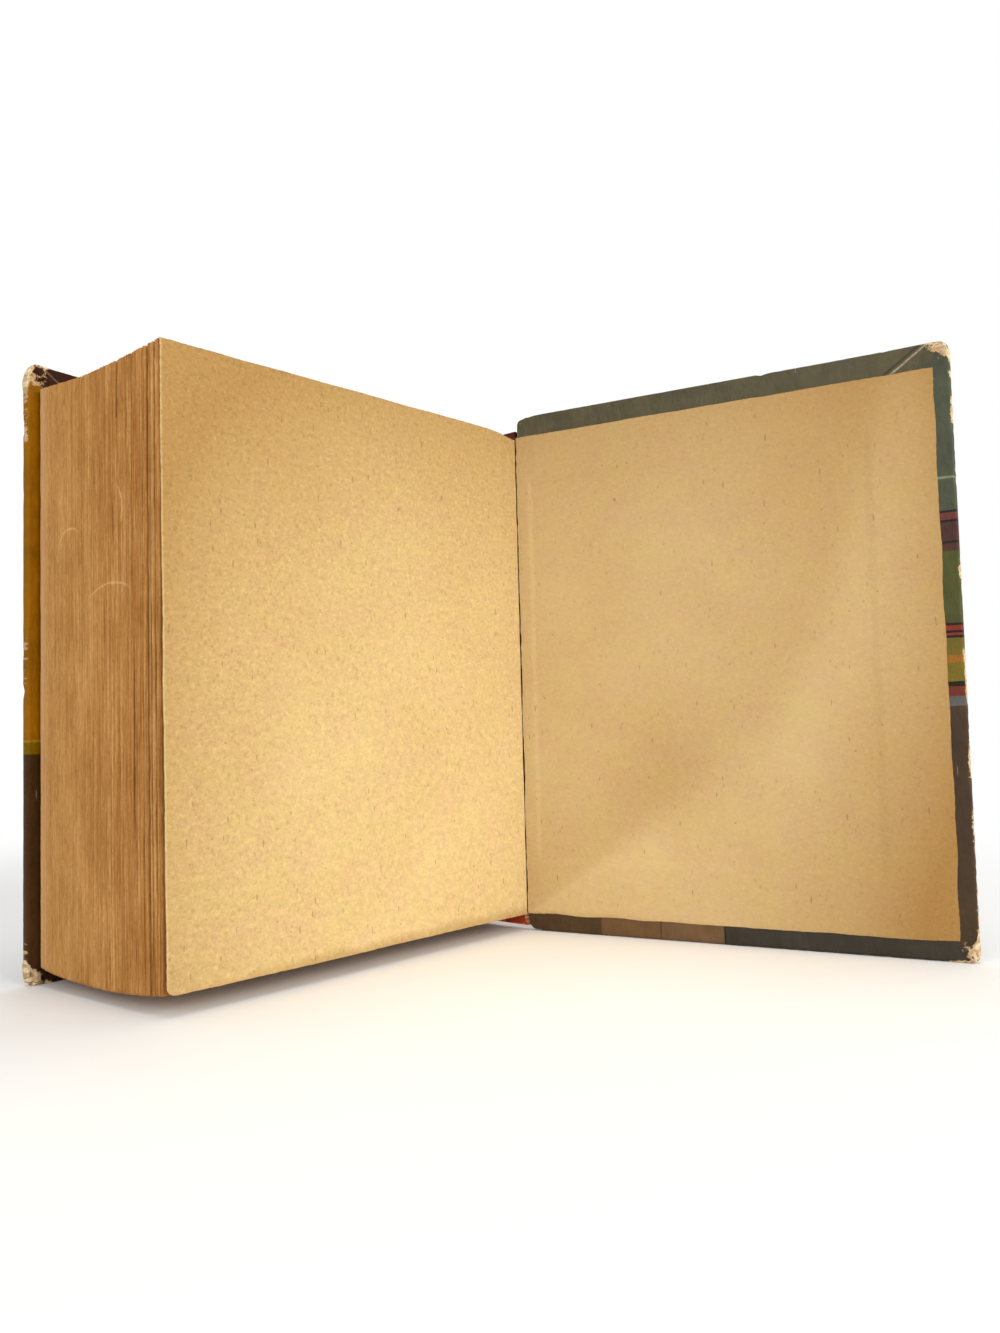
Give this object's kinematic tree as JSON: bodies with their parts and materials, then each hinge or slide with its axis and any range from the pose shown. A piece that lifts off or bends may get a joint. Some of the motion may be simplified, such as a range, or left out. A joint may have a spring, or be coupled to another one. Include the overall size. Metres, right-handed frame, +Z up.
{
  "type": "open book",
  "caption": "Thick, small hardcover storybook standing on its tail edges, front cover shut and back cover swung open beside the last page.",
  "frame": {"origin": "middle of the front cover's tail edge, on the surface that the book stands on", "axes": "+Z up, from tail to head; +Y from the block out through the front cover; +X from the fore edge to the spine"},
  "size_m": [0.119, 0.1287, 0.1143],
  "materials": {
    "pulp_paper": "matte",
    "endpaper": "matte",
    "cover_paper": "satin",
    "spine_paper": "satin",
    "greyboard": "matte",
    "gauze_lining": "matte"
  },
  "bodies": {
    "block": {"text_block": "pulp_paper", "spine_lining": "gauze_lining", "spine_strip": "greyboard", "spine_paper": "spine_paper", "front_joint": "spine_paper", "front_hinge_lining": "endpaper", "back_joint": "spine_paper", "back_hinge_lining": "endpaper"},
    "front_cover": {"front_board": "greyboard", "front_cover_paper": "cover_paper", "front_pastedown": "endpaper"},
    "back_cover": {"back_board": "greyboard", "back_cover_paper": "cover_paper", "back_pastedown": "endpaper"}
  },
  "joints": [
    {"name": "back_cover_hinge", "type": "hinge", "parent": "block", "child": "back_cover", "pos_m": [0.04885, -0.0405, 0], "axis": [0, 0, 1], "range_deg": [-105.4, 74.6], "deforming": ["back_joint", "back_hinge_lining"]},
    {"name": "front_cover_hinge", "type": "hinge", "parent": "block", "child": "front_cover", "pos_m": [0.04665, -0.0014, 0], "axis": [0, 0, -1], "range_deg": [0, 180], "deforming": ["front_joint", "front_hinge_lining"]}
  ]
}
